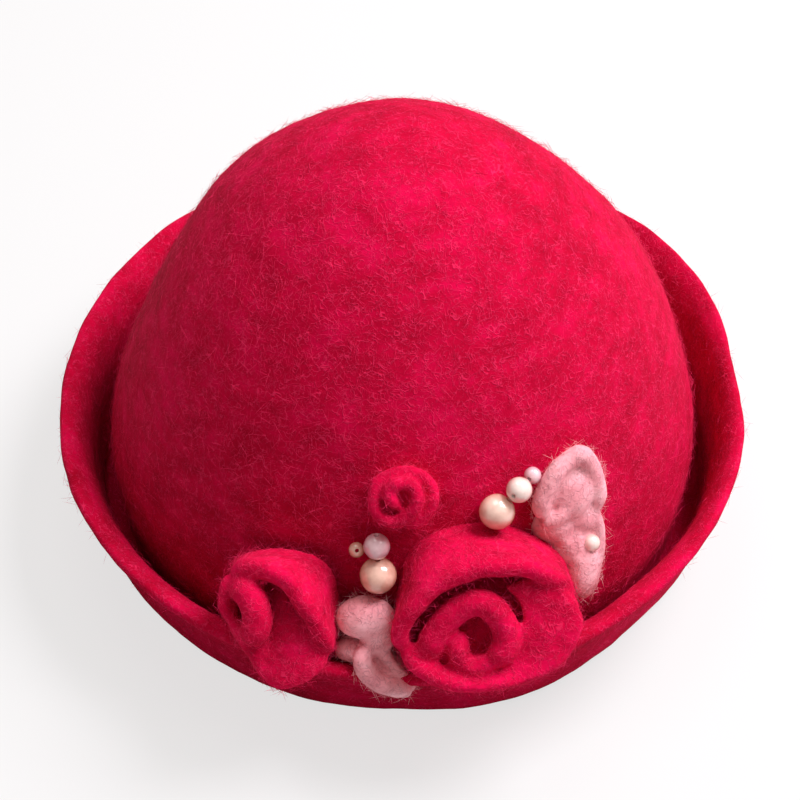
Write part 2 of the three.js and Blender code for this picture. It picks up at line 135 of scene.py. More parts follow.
# ------------------------------------------------------------------------------------------ materials
def felt(name, deep, middle, bright, strand, mottle, strand_share):
    """Wet-felted wool: fibres matted into a cloudy matt surface, with single fibres lying lighter on it."""
    tree = blank(name)
    place = add(tree, "ShaderNodeTexCoord").outputs["Object"]
    # Clouds in the dyed wool, where thicker and thinner layers of roving were laid round the crown: 25 mm
    # and 6 mm high, and twice as wide.
    laid = add(
        tree, "ShaderNodeVectorMath", {0: place, 1: (0.5, 0.5, 1.0)}, operation="MULTIPLY"
    ).outputs[0]
    broad = add(tree, "ShaderNodeTexNoise", {"Vector": laid, "Scale": 40, "Detail": 3, "Roughness": 0.6})
    patchy = add(tree, "ShaderNodeTexNoise", {"Vector": laid, "Scale": 170, "Detail": 4, "Roughness": 0.65})
    clouds = add(
        tree,
        "ShaderNodeMix",
        {0: 0.65, 2: broad.outputs["Fac"], 3: patchy.outputs["Fac"]},
        data_type="FLOAT",
    )
    colours = add(tree, "ShaderNodeValToRGB", {"Fac": clouds.outputs[0]})
    stops = colours.color_ramp.elements
    stops.new(0.5)
    for stop, at, colour in zip(stops, (0.5 - mottle, 0.5, 0.5 + mottle), (deep, middle, bright)):
        stop.position = at
        stop.color = colour
    # Fibres: thin wandering lines where warped noise passes its middle value, broken up by a mask.
    warp = add(tree, "ShaderNodeTexNoise", {"Vector": place, "Scale": 260, "Detail": 1})
    warped = add(
        tree,
        "ShaderNodeVectorMath",
        {0: warp.outputs["Color"], 1: (0.0028, 0.0028, 0.0028), 2: place},
        operation="MULTIPLY_ADD",
    )
    network = None
    for scale, shift, width in ((430, 0.0, 0.035), (640, 0.31, 0.04), (900, 0.67, 0.05)):
        moved = add(
            tree, "ShaderNodeVectorMath", {0: warped.outputs[0], 1: (shift, shift, shift)}, operation="ADD"
        )
        field = add(tree, "ShaderNodeTexNoise", {"Vector": moved.outputs[0], "Scale": scale, "Detail": 0.6})
        off = add(tree, "ShaderNodeMath", {0: field.outputs["Fac"], 1: 0.5}, operation="SUBTRACT")
        near = add(tree, "ShaderNodeMath", {0: off.outputs[0]}, operation="ABSOLUTE")
        line = add(
            tree,
            "ShaderNodeMapRange",
            {"Value": near.outputs[0], "From Min": 0.0, "From Max": width, "To Min": 1.0, "To Max": 0.0},
            interpolation_type="SMOOTHSTEP",
        )
        gaps = add(tree, "ShaderNodeTexNoise", {"Vector": moved.outputs[0], "Scale": scale * 0.6})
        broken = add(
            tree,
            "ShaderNodeMapRange",
            {"Value": gaps.outputs["Fac"], "From Min": 0.42, "From Max": 0.6},
            interpolation_type="SMOOTHSTEP",
        )
        lines = add(
            tree, "ShaderNodeMath", {0: line.outputs[0], 1: broken.outputs[0]}, operation="MULTIPLY"
        ).outputs[0]
        if network is not None:
            lines = add(tree, "ShaderNodeMath", {0: network, 1: lines}, operation="MAXIMUM").outputs[0]
        network = lines
    share = add(tree, "ShaderNodeMath", {0: network, 1: strand_share}, operation="MULTIPLY")
    coloured = add(
        tree,
        "ShaderNodeMix",
        {0: share.outputs[0], 6: colours.outputs["Color"], 7: strand},
        data_type="RGBA",
    )
    # Relief: the matted surface's fine grain, half a millimetre wide, with the fibres lying on top of it.
    grain = add(tree, "ShaderNodeTexNoise", {"Vector": place, "Scale": 1100, "Detail": 3, "Roughness": 0.6})
    relief = add(
        tree,
        "ShaderNodeMix",
        {0: 0.55, 2: grain.outputs["Fac"], 3: network},
        data_type="FLOAT",
    )
    bump = add(tree, "ShaderNodeBump", {"Height": relief.outputs[0], "Strength": 0.7, "Distance": 0.0004})
    wool = add(
        tree,
        "ShaderNodeBsdfPrincipled",
        {
            "Base Color": coloured.outputs[2],
            "Roughness": 0.95,
            "Specular IOR Level": 0.08,
            "Sheen Weight": 0.06,
            "Sheen Roughness": 0.5,
            "Sheen Tint": strand,
            "Normal": bump.outputs["Normal"],
        },
    )
    add(tree, "ShaderNodeOutputMaterial", {"Surface": wool.outputs[0]})


def fibre(name, dull, bright):
    """Single wool fibres, scaly and half clear: each takes the dye a little differently."""
    tree = blank(name)
    own = add(tree, "ShaderNodeNewGeometry").outputs["Random Per Island"]
    dyed = add(tree, "ShaderNodeMix", {0: own, 6: linear(dull), 7: linear(bright)}, data_type="RGBA")
    strand = add(
        tree,
        "ShaderNodeBsdfPrincipled",
        {
            "Base Color": dyed.outputs[2],
            "Roughness": 0.8,
            "Specular IOR Level": 0.1,
        },
    )
    add(tree, "ShaderNodeOutputMaterial", {"Surface": strand.outputs[0]})


def pearl(name, body, gleam):
    """Imitation pearl: a bead dipped in pearl essence, soft in its depth and glossy on top, its colour
    painted darker and browner towards its rim as painted shade and a painted reflection of the red felt.
    """
    tree = blank(name)
    place = add(tree, "ShaderNodeTexCoord").outputs["Object"]
    # Painted shade and painted reflection: the gleam colour where the bead faces the eye turns to the
    # darker brownish body colour at its rim.
    facing = add(tree, "ShaderNodeLayerWeight", {"Blend": 0.35}).outputs["Facing"]
    cloudy = add(tree, "ShaderNodeTexNoise", {"Vector": place, "Scale": 420, "Detail": 2})
    depth = add(
        tree,
        "ShaderNodeMapRange",
        {"Value": cloudy.outputs["Fac"], "From Min": 0.35, "From Max": 0.65, "To Min": 0.0, "To Max": 0.25},
    )
    shade = add(tree, "ShaderNodeMath", {0: facing, 1: depth.outputs[0]}, operation="ADD", use_clamp=True)
    pearl_with_rim_shade = add(
        tree,
        "ShaderNodeMix",
        {0: shade.outputs[0], 6: linear(gleam), 7: linear(body)},
        data_type="RGBA",
    )
    bead = add(
        tree,
        "ShaderNodeBsdfPrincipled",
        {
            "Base Color": pearl_with_rim_shade.outputs[2],
            "Roughness": 0.22,
            "Specular IOR Level": 0.8,
            "Coat Weight": 1.0,
            "Coat Roughness": 0.04,
        },
    )
    add(tree, "ShaderNodeOutputMaterial", {"Surface": bead.outputs[0]})


def paper(name, colour, bounce):
    """Seamless studio paper: evenly pale to the eye, while it throws little light up under the brim."""
    tree = blank(name)
    seen = add(tree, "ShaderNodeLightPath").outputs["Is Camera Ray"]
    share = add(tree, "ShaderNodeMath", {0: seen, 1: 0.65}, operation="MULTIPLY")
    matt = add(tree, "ShaderNodeBsdfDiffuse", {"Color": linear(bounce)})
    glow = add(tree, "ShaderNodeEmission", {"Color": linear(colour), "Strength": 1.15})
    mixed = add(tree, "ShaderNodeMixShader", {0: share.outputs[0], 1: matt.outputs[0], 2: glow.outputs[0]})
    add(tree, "ShaderNodeOutputMaterial", {"Surface": mixed.outputs[0]})


# ------------------------------------------------------------------------------------------ settings
class FeltSettings(bpy.types.PropertyGroup):
    body_detail: bpy.props.IntProperty(
        name="Body detail", description="How many times the body's mesh is halved", default=2
    )
    body_smoothing: bpy.props.IntProperty(
        name="Body smoothing", description="How many times the body's mesh is smoothed", default=3
    )
    petal_voxel: bpy.props.FloatProperty(
        name="Petal mesh", description="Size of the flowers' mesh cells", default=0.6 * MM, unit="LENGTH"
    )
    petal_smoothing: bpy.props.IntProperty(
        name="Petal smoothing", description="How many times the flowers' mesh is smoothed", default=6
    )


def dye(name, description, colour):
    """A felt colour that a user may change."""
    return bpy.props.FloatVectorProperty(
        name=name, description=description, default=linear(colour), size=4, subtype="COLOR", min=0, max=1
    )


class DyeSettings(bpy.types.PropertyGroup):
    crimson_deep: dye("Crimson, deep", "Darkest clouds in the hat's felt", "#92001d")
    crimson_middle: dye("Crimson", "The hat's felt", "#b80031")
    crimson_bright: dye("Crimson, bright", "Lightest clouds in the hat's felt", "#d80349")
    crimson_strand: dye("Crimson strand", "Matted fibres on the hat's felt", "#f03468")
    # The roses' felt is the hat's crimson made more magenta in its own dye, and made lighter as painted
    # light on the roses' steep faces.
    rose_deep: dye("Rose, deep", "Darkest clouds in the roses' felt", "#a8002c")
    rose_middle: dye("Rose", "The roses' felt", "#cf033e")
    rose_bright: dye("Rose, bright", "Lightest clouds in the roses' felt", "#e60650")
    rose_strand: dye("Rose strand", "Matted fibres on the roses' felt", "#fb366c")
    pink_deep: dye("Pink, deep", "Darkest clouds in the pink felt", "#e38d98")
    pink_middle: dye("Pink", "The pink flowers' felt", "#f5aab4")
    pink_bright: dye("Pink, bright", "Lightest clouds in the pink felt", "#fdc4cc")
    pink_strand: dye("Pink strand", "Matted fibres on the pink felt", "#9a6672")


class FuzzSettings(bpy.types.PropertyGroup):
    thickness: bpy.props.FloatProperty(
        name="Fibre thickness",
        description="Thickness of a wool fibre, drawn about twice as thick as real so that it shows",
        default=0.056 * MM,
        unit="LENGTH",
    )


class StageSettings(bpy.types.PropertyGroup):
    lens: bpy.props.FloatProperty(name="Lens", description="Focal length in mm", default=78.3)


# ------------------------------------------------------------------------------------------ felt
QUAD_ANGLE = math.radians(60)  # packed triangles that lie flatter than this are joined in pairs


def soften(piece, times):
    """Smooths a piece, its sharpest edges most, as felting does."""
    soft = piece.modifiers.new("Soft", "SMOOTH")
    soft.factor = 0.5
    soft.iterations = times


def swell_out(piece, *swellings):
    """Moves a piece's skin in and out in soft lumps: height, wavelength, stretch and seed of each kind."""
    co, out = points_of(piece.data), normals_of(piece.data)
    away = sum(height * lumps(co, *pattern) for height, *pattern in swellings)
    return co + out * away[:, None]


def felt_copy(node, name, subdivisions, smoothing):
    """A packed felt solid as one fine smooth mesh, its edges felted round."""
    piece = link(bpy.data.objects.new(name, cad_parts[node].data.copy()))
    piece.data.materials.clear()
    shape = bmesh.new()
    shape.from_mesh(piece.data)
    bmesh.ops.remove_doubles(shape, verts=shape.verts, dist=0.01 * MM)
    bmesh.ops.join_triangles(
        shape,
        faces=shape.faces,
        angle_face_threshold=QUAD_ANGLE,
        angle_shape_threshold=QUAD_ANGLE,
    )
    shape.to_mesh(piece.data)
    shape.free()
    rounder = piece.modifiers.new("Rounder", "SUBSURF")
    rounder.levels = rounder.render_levels = subdivisions
    soften(piece, smoothing)
    return evaluated(piece)


def shade_smooth(piece):
    piece.data.polygons.foreach_set("use_smooth", [True] * len(piece.data.polygons))


def dress(piece, material, node):
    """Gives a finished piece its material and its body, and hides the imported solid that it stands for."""
    piece.data.materials.clear()
    piece.data.materials.append(material)
    shade_smooth(piece)
    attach(piece, BODY)
    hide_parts(node)


class FELTHAT_OT_body(bpy.types.Operator):
    """Make the hat's crown, fold and brim in one piece of felt"""

    bl_idname = "felthat.body"
    bl_label = "Hat body"

    def execute(self, context):
        settings = context.scene.felthat_felt
        body = felt_copy("hat_body", "felt_body", settings.body_detail, settings.body_smoothing)
        broad = (0.35 * MM, 22 * MM, (1.4, 1.4, 0.6), 1)
        small = (0.22 * MM, 7 * MM, (1.3, 1.3, 0.7), 2)
        co = swell_out(body, broad, small)
        co[:, 2] = np.maximum(co[:, 2], 0)
        set_points(body.data, co)
        dress(body, bpy.data.materials["Crimson wool felt"], "hat_body")
        return {"FINISHED"}


# ------------------------------------------------------------------------------------------ flowers
# Each flower is drawn from where it faces, 45 degrees up at the front of the hat, in millimetres from the
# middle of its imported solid: across to the right, up, and out towards the eye.
ACROSS = np.array((1.0, 0.0, 0.0))
UP = np.array((0.0, 1.0, 1.0)) / math.sqrt(2)
OUT = np.array((0.0, -1.0, 1.0)) / math.sqrt(2)
PETAL_FOOT = 3.0  # thickness of a petal's felt at its foot
PETAL_STEPS = 7  # rows of points from a petal's foot to its lip
CURVE_STEPS = 8  # stretches of a curve between two points of a lip or foot
ROW_GAP = 1.3  # distance between a petal's cross-sections along its lip
BALL_DETAIL = 4  # how many times the faces of a felt ball are divided
ROUNDED_END = (0.4, 0.75, 0.93)  # share of the thickness in a petal's first and last rows
CAP = (60, 30, 0, -30, -60)  # degrees round a petal's rolled lip

# Petals: thickness of the lip, how far the petal swells out, the line of its lip and the line of its
# foot, each a smooth curve through points given across, up and out.
PETALS = {
    "rose_large": (
        (
            # hood
            5, 3,
            (
                (22, 1, 1), (16, 5, 6), (9, 8, 8), (3, 8, 9), (-2, 8, 9), (-8, 6, 9), (-14, 3, 8),
                (-19, -2, 7), (-23, -8, 5), (-23, -14, 2),
            ),
            (
                (24, -3, -20), (20, 8, -16), (12, 14, -11), (4, 17, -8), (-6, 18, -7), (-14, 16, -7),
                (-20, 11, -8), (-22, 4, -10), (-23, -4, -12), (-23, -13, -13),
            ),
        ),
        (
            # roll
            7.6, 0.5,
            (
                (-14, -17, 0), (-15, -12, 3), (-12, -7, 4), (-8, -3, 5), (-3, -1, 6), (1, -3, 6),
                (4, -8, 5), (4, -13, 4), (0, -17, 3),
            ),
            ((-12, -15, -8), (-13, -10, -8), (-7, -3, -8), (-1, -2, -8), (3, -8, -8), (1, -15, -8)),
        ),
        (
            # lobe
            6.2, 0.5,
            ((2, -16, 3), (-3, -18, 3), (-7, -17, 3), (-8, -13, 4), (-7, -9, 3)),
            ((-3, -15, -8), (-6, -15, -8), (-7, -12, -8), (-7, -10, -8)),
        ),
        (
            # collar
            4.4, 1,
            (
                (10, 5, 3), (17, 2, 4), (22, -5, 4), (21, -11, 4), (17, -17, 4), (10, -21, 4), (2, -23, 4),
                (-6, -23, 4), (-14, -21, 4), (-20, -17, 3), (-22, -12, 2),
            ),
            (
                (4, 3, 4), (8, -2, 4), (9, -9, 4), (8, -15, 3), (3, -20, 2), (-4, -21, 2), (-10, -19, 2),
                (-16, -17, 2), (-18, -12, 2),
            ),
        ),
        (
            # outer wall
            4, 1,
            (
                (20, 2, 0), (22, -5, 1), (21, -11, 0), (17, -17, 0), (10, -21, 0), (2, -23, 0),
                (-6, -23, 0), (-14, -21, 0), (-20, -17, -1), (-22, -12, -3), (-22, -5, -6),
            ),
            (
                (20, -2, -26), (20, -8, -28), (17, -14, -28), (10, -20, -26), (2, -22, -24), (-7, -23, -22),
                (-15, -20, -21), (-20, -15, -20), (-21, -7, -18),
            ),
        ),
    ),
    "rose_left": (
        (
            # hood
            5.4, 2.5,
            (
                (-14, 10, 3), (-9, 11, 5), (-3, 10, 7), (2, 7, 7), (5, 2, 7), (8, -3, 5), (10, -8, 3),
                (10, -12, 0),
            ),
            (
                (-16, 8, -12), (-12, 12, -10), (-4, 14, -8), (5, 13, -6), (10, 10, -7), (12, 4, -10),
                (12, -5, -14), (11, -13, -16),
            ),
        ),
        (
            # tongue
            8, 0.5,
            ((-14, 7, 1), (-10, 5, 4), (-8, 2, 5), (-7, -2, 5), (-8, -6, 4), (-9, -9, 1)),
            ((-12, 2, -6), (-9, 0, -6), (-8, -3, -6), (-9, -7, -6)),
        ),
        (
            # left petal
            3.4, 0.5,
            ((-15, 9, 2), (-16, 5, 2), (-16, 0, 1), (-13, -4, 1), (-10, -9, 1)),
            ((-14, 4, -8), (-13, 0, -8), (-12, -4, -8), (-10, -8, -8)),
        ),
        (
            # apron
            4, 1,
            ((10, -10, 0), (8, -15, 1), (3, -18, 1), (-2, -19, 0), (-6, -16, 0), (-9, -11, 1)),
            ((5, -1, 2), (4, -4, 2), (1, -5, 2), (-1, -6, 1), (-4, -8, 0), (-7, -9, 0)),
        ),
        (
            # outer wall
            4, 1,
            (
                (10, -10, -2), (8, -15, -1), (3, -18, -1), (-2, -19, -2), (-6, -16, -2), (-9, -11, -1),
                (-13, -5, -1), (-15, 1, -1), (-15, 6, -1),
            ),
            (
                (7, -10, -22), (4, -16, -25), (-2, -19, -28), (-7, -16, -27), (-10, -11, -25),
                (-13, -5, -24), (-14, 1, -22), (-14, 5, -20),
            ),
        ),
    ),
    "rose_small": (
        (
            # spiral
            3.6, 0.3,
            (
                (-1, -4, 3), (-3, -3, 4), (-4, 0, 4), (-2, 2, 5), (1, 2, 4), (3, 0, 4), (3, -3, 4),
                (1, -6, 3), (-3, -8, 2), (-7, -6, 2), (-8, -2, 2), (-7, 2, 2), (-4, 4, 2), (0, 5, 1),
                (4, 4, 1), (7, 1, 0), (7, -4, 0), (4, -8, -1), (0, -9, -2),
            ),
            (
                (-1, -3, -7), (-2, -2, -7), (-2, 1, -7), (1, 1, -7), (2, -1, -7), (1, -5, -8), (-2, -6, -9),
                (-6, -4, -10), (-6, 0, -10), (-3, 3, -10), (1, 4, -10), (5, 1, -10), (5, -4, -10),
                (3, -7, -10), (0, -8, -10),
            ),
        ),
    ),
    "pink_blossom": (
        (
            # upper lobe
            5.4, 1,
            (
                (-7, 1, 0), (-6, 7, 2), (-3, 13, 3), (0, 16, 2), (4, 18, 1), (7, 15, -1), (9, 9, -4),
                (9, 3, -6),
            ),
            (
                (-3, 2, -8), (-3, 6, -8), (-1, 10, -7), (1, 12, -7), (3, 13, -8), (5, 11, -9), (6, 7, -10),
                (6, 3, -11),
            ),
        ),
        (
            # fold
            4.2, 1,
            ((-6, -1, -1), (-2, 1, -1), (1, 5, -1), (4, 9, -2)),
            ((-4, -3, -9), (1, -1, -9), (5, 3, -10), (7, 7, -11)),
        ),
        (
            # cup's left lip
            3.6, 0.5,
            ((-3, 0, -2), (-1, -4, -4), (1, -8, -6), (4, -13, -9), (6, -18, -14), (7, -22, -18)),
            ((2, -2, -10), (4, -6, -12), (6, -12, -15), (8, -20, -21)),
        ),
        (
            # cup's right lip
            3.6, 0.5,
            ((8, 3, -6), (10, -3, -9), (10, -9, -11), (9, -15, -14), (8, -21, -18)),
            ((6, 0, -12), (7, -6, -15), (8, -12, -18), (8, -18, -21)),
        ),
    ),
    "pink_bud": (
        (
            # trumpet
            5.2, 0.5,
            ((-1, 1, -3), (-2, -3, -1), (-1, -6, -1), (2, -9, -1), (6, -10, -1), (11, -12, -2)),
            ((1, -1, -11), (1, -3, -11), (3, -5, -11), (5, -7, -12), (8, -9, -12), (11, -11, -12)),
        ),
        (
            # upper edge
            3.6, 0.5,
            ((0, 0, -3), (3, -1, -3), (6, -5, -3), (9, -8, -3), (12, -11, -4)),
            ((1, -3, -12), (4, -5, -12), (7, -8, -12), (11, -11, -14)),
        ),
    ),
}

# The felt balls that each flower's petals are wrapped on: a ball's middle, then half its width, height and
# depth.
CORES = {
    "rose_large": ((1, -7, -11, 21, 17, 12), (-5, -18, -3, 10, 5, 6)),
    "rose_left": ((1, -3, -7, 9, 13, 10), (-2, -6, -15, 12, 13, 9)),
    "rose_small": ((-1, -2, -4, 8, 7, 6),),
    "pink_blossom": (
        (1, 9, -4, 7, 9, 6), (4, 2, -8, 6, 6, 5), (-3, -1, -6, 6, 5, 5), (1, -5, -9, 6, 7, 5),
        (5, -9, -13, 6, 12, 7),
    ),
    "pink_bud": (
        (-1, 8, -2, 8, 6, 5), (2, 4, -3, 5, 6, 4), (-5, -1, -7, 4.5, 3.5, 4.5), (3, -6, -9, 6, 5, 6),
    ),
}


def along(line, count):
    """Points at even distances along a smooth curve through a line's points."""
    line = np.array(line, float)
    ends = np.vstack([2 * line[0] - line[1], line, 2 * line[-1] - line[-2]])
    found = []
    for a, b, c, d in zip(ends, ends[1:], ends[2:], ends[3:]):
        for t in np.arange(CURVE_STEPS) / CURVE_STEPS:
            bend = (2 * a - 5 * b + 4 * c - d) * t**2
            twist = (3 * b - a - 3 * c + d) * t**3
            found.append((2 * b + (c - a) * t + bend + twist) / 2)
    found = np.array(found + [line[-1]])
    far = np.concatenate([[0], np.cumsum(np.linalg.norm(np.diff(found, axis=0), axis=1))])
    return np.stack([np.interp(np.linspace(0, far[-1], count), far, found[:, i]) for i in range(3)], axis=1)


def petal_into(shape, thick, swell, lip_line, foot_line):
    """Adds one petal to a bmesh: a strip of felt from its foot to its rolled lip, closed at both ends."""
    length = sum(math.dist(a, b) for a, b in zip(lip_line, lip_line[1:]))
    count = round(length / ROW_GAP)
    lips, feet = along(lip_line, count), along(foot_line, count)
    rings = []
    for j, (lip, foot) in enumerate(zip(lips, feet)):
        tangent = lips[min(j + 1, count - 1)] - lips[max(j - 1, 0)]
        bend = (lip + foot) / 2 + np.array((0, 0, swell))
        from_end = min(j, count - 1 - j)
        taper = ROUNDED_END[from_end] if from_end < len(ROUNDED_END) else 1
        left, right = [], []
        for t in np.linspace(0, 1, PETAL_STEPS):
            centre = (1 - t) ** 2 * foot + 2 * t * (1 - t) * bend + t**2 * lip
            rise = 2 * (1 - t) * (bend - foot) + 2 * t * (lip - bend)
            rise /= np.linalg.norm(rise)
            side = np.cross(tangent, rise)
            side /= np.linalg.norm(side)
            half = taper * (PETAL_FOOT + (thick - PETAL_FOOT) * t**2) / 2
            left.append(centre + side * half)
            right.insert(0, centre - side * half)
        cap = []
        for angle in CAP:
            turn = math.radians(angle)
            cap.append(lip + half * (math.cos(turn) * rise + math.sin(turn) * side))
        rings.append([shape.verts.new(point) for point in left + cap + right])
    for one, two in zip(rings, rings[1:]):
        for k in range(len(one)):
            shape.faces.new((one[k - 1], one[k], two[k], two[k - 1]))
    shape.faces.new(rings[0])
    shape.faces.new(reversed(rings[-1]))


def outer_shell(piece):
    """Keeps a felt piece's largest shell, without the closed hollows between its petals' feet."""
    shape = bmesh.new()
    shape.from_mesh(piece.data)
    left, shells = set(shape.verts), []
    while left:
        shell, edge = set(), [left.pop()]
        while edge:
            vert = edge.pop()
            shell.add(vert)
            for side in vert.link_edges:
                other = side.other_vert(vert)
                if other in left:
                    left.remove(other)
                    edge.append(other)
        shells.append(shell)
    largest = max(shells, key=len)
    bmesh.ops.delete(shape, geom=[vert for vert in shape.verts if vert not in largest], context="VERTS")
    shape.to_mesh(piece.data)
    shape.free()
    return piece


def flower_piece(node, name, voxel, smoothing):
    """A rolled flower as one fine even mesh, its petals and its core felted together."""
    shape = bmesh.new()
    for thick, swell, lip_line, foot_line in PETALS[node]:
        petal_into(shape, thick, swell, lip_line, foot_line)
    for *middle, wide, high, deep in CORES[node]:
        size = Matrix.Translation(middle) @ Matrix.Diagonal((wide, high, deep, 1))
        bmesh.ops.create_icosphere(shape, subdivisions=BALL_DETAIL, radius=1, matrix=size)
    low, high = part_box(node)
    centre = (low + high) / 2
    place = np.array((ACROSS, UP, OUT)) * MM
    for vert in shape.verts:
        vert.co = centre + Vector(np.array(vert.co) @ place)
    mesh = bpy.data.meshes.new(name)
    shape.to_mesh(mesh)
    shape.free()
    flower = link(bpy.data.objects.new(name, mesh))
    even = flower.modifiers.new("Even", "REMESH")
    even.mode = "VOXEL"
    even.voxel_size = voxel
    soften(flower, smoothing)
    return outer_shell(evaluated(flower))


FLOWERS = (
    # imported solid, felt, slot
    # The roses take the rose felt: the hat's crimson with painted light making it lighter, and more magenta
    # in its own dye.
    ("rose_large", "Rose wool felt", "crimson_felt"),
    ("rose_left", "Rose wool felt", "crimson_felt"),
    ("rose_small", "Rose wool felt", "crimson_felt"),
    ("pink_blossom", "Pink wool felt", "pink_felt"),
    ("pink_bud", "Pink wool felt", "pink_felt"),
)


class FELTHAT_OT_flowers(bpy.types.Operator):
    """Make the rolled roses and the pink flowers"""

    bl_idname = "felthat.flowers"
    bl_label = "Felt flowers"

    def execute(self, context):
        settings = context.scene.felthat_felt
        for seed, (node, material, slot) in enumerate(FLOWERS, start=10):
            flower = flower_piece(node, node + "_felt", settings.petal_voxel, settings.petal_smoothing)
            set_points(flower.data, swell_out(flower, (0.25 * MM, 6 * MM, (1, 1, 1), seed)))
            dress(flower, bpy.data.materials[material], node)
        return {"FINISHED"}


# ------------------------------------------------------------------------------------------ wool fibres
STRAND_SHAPES = (
    # how a fibre bends between its two ends: along, aside and up at its two inner points, of its length
    ((0.3, 0.10, 0.05), (0.72, 0.16, 0.06)),
    ((0.35, -0.16, 0.06), (0.6, -0.22, 0.10)),
    ((0.25, 0.14, 0.04), (0.75, -0.12, 0.07)),
    ((0.15, 0.26, 0.06), (0.55, 0.38, 0.09)),
)


def fuzz_tree():
    """Scatters bent wool fibres over felt, thicker where its attribute "fuzz" is nearer to 1."""
    tree = bpy.data.node_groups.new("Wool fibres", "GeometryNodeTree")
    put = tree.interface.new_socket
    put("Geometry", in_out="INPUT", socket_type="NodeSocketGeometry")
    for name, kind in (
        ("Density", "NodeSocketFloat"),
        ("Length", "NodeSocketFloat"),
        ("Thickness", "NodeSocketFloat"),
        ("Lift", "NodeSocketFloat"),
        ("Seed", "NodeSocketInt"),
        ("Material", "NodeSocketMaterial"),
    ):
        put(name, in_out="INPUT", socket_type=kind)
    put("Geometry", in_out="OUTPUT", socket_type="NodeSocketGeometry")
    given = add(tree, "NodeGroupInput").outputs
    fuzzy = add(tree, "GeometryNodeInputNamedAttribute", {"Name": "fuzz"}, data_type="FLOAT")
    thick = add(
        tree, "ShaderNodeMath", {0: fuzzy.outputs["Attribute"], 1: given["Density"]}, operation="MULTIPLY"
    )
    roots = add(
        tree,
        "GeometryNodeDistributePointsOnFaces",
        {"Mesh": given["Geometry"], "Density": thick.outputs[0], "Seed": given["Seed"]},
        distribute_method="RANDOM",
    )
    # Each fibre: a line of three stretches, pointed at both ends, thickest at its two inner points.
    shapes = add(tree, "GeometryNodeJoinGeometry")
    ring = add(tree, "GeometryNodeCurvePrimitiveCircle", {"Resolution": 3, "Radius": 0.5})
    stretch = add(
        tree, "ShaderNodeCombineXYZ", {"X": given["Length"], "Y": given["Length"], "Z": given["Length"]}
    )
    done = add(tree, "GeometryNodeSplineParameter").outputs["Factor"]
    left = add(tree, "ShaderNodeMath", {0: 1.0, 1: done}, operation="SUBTRACT")
    swell = add(tree, "ShaderNodeMath", {0: done, 1: left.outputs[0]}, operation="MULTIPLY")
    fuller = add(tree, "ShaderNodeMath", {0: swell.outputs[0], 1: 4.5}, operation="MULTIPLY")
    girth = add(tree, "ShaderNodeMath", {0: fuller.outputs[0], 1: given["Thickness"]}, operation="MULTIPLY")
    for inner in STRAND_SHAPES:
        line = add(tree, "GeometryNodeCurvePrimitiveLine", {"Start": (0, 0, 0), "End": (1, 0, 0)})
        cut = add(
            tree, "GeometryNodeResampleCurve", {"Curve": line.outputs[0], "Count": 4}, mode="COUNT"
        )
        index = add(tree, "GeometryNodeInputIndex")
        bent = cut.outputs[0]
        for number, (along, aside, up) in enumerate(inner, start=1):
            chosen = add(
                tree,
                "FunctionNodeCompare",
                {2: index.outputs[0], 3: number},
                data_type="INT",
                operation="EQUAL",
            )
            bent = add(
                tree,
                "GeometryNodeSetPosition",
                {"Geometry": bent, "Selection": chosen.outputs[0], "Position": (along, aside, up)},
            ).outputs[0]
        longer = add(tree, "GeometryNodeTransform", {"Geometry": bent, "Scale": stretch.outputs[0]})
        skin = add(
            tree,
            "GeometryNodeCurveToMesh",
            {"Curve": longer.outputs[0], "Profile Curve": ring.outputs[0], "Scale": girth.outputs[0]},
        )
        closed = add(
            tree, "GeometryNodeMergeByDistance", {"Geometry": skin.outputs[0], "Distance": 0.000002}
        )
        single = add(tree, "GeometryNodeGeometryToInstance", {"Geometry": closed.outputs[0]})
        tree.links.new(single.outputs[0], shapes.inputs[0])
    spin = add(
        tree,
        "FunctionNodeRandomValue",
        {"Min": (-0.25, -0.25, 0.0), "Max": (0.25, 0.25, math.tau), "Seed": given["Seed"]},
        data_type="FLOAT_VECTOR",
    )
    tilt = add(tree, "ShaderNodeCombineXYZ", {"X": 0.0, "Z": 0.0})
    lift = add(
        tree,
        "FunctionNodeRandomValue",
        {2: 0.0, 3: given["Lift"], "Seed": given["Seed"]},
        data_type="FLOAT",
    )
    raised = add(tree, "ShaderNodeMath", {0: lift.outputs[1], 1: -1.0}, operation="MULTIPLY")
    tree.links.new(raised.outputs[0], tilt.inputs["Y"])
    turned = add(
        tree,
        "FunctionNodeRotateRotation",
        {"Rotation": roots.outputs["Rotation"], "Rotate By": spin.outputs[0]},
        rotation_space="LOCAL",
    )
    tipped = add(
        tree,
        "FunctionNodeRotateRotation",
        {"Rotation": turned.outputs[0], "Rotate By": tilt.outputs[0]},
        rotation_space="LOCAL",
    )
    size = add(
        tree,
        "FunctionNodeRandomValue",
        {2: 0.55, 3: 1.35, "Seed": given["Seed"]},
        data_type="FLOAT",
    )
    which = add(
        tree,
        "FunctionNodeRandomValue",
        {4: 0, 5: len(STRAND_SHAPES) - 1, "Seed": given["Seed"]},
        data_type="INT",
    )
    placed = add(
        tree,
        "GeometryNodeInstanceOnPoints",
        {
            "Points": roots.outputs["Points"],
            "Instance": shapes.outputs[0],
            "Pick Instance": True,
            "Instance Index": which.outputs[2],
            "Rotation": tipped.outputs[0],
            "Scale": size.outputs[1],
        },
    )
    real = add(tree, "GeometryNodeRealizeInstances", {"Geometry": placed.outputs[0]})
    dyed = add(
        tree, "GeometryNodeSetMaterial", {"Geometry": real.outputs[0], "Material": given["Material"]}
    )
    add(tree, "NodeGroupOutput", {0: dyed.outputs[0]})
    return tree


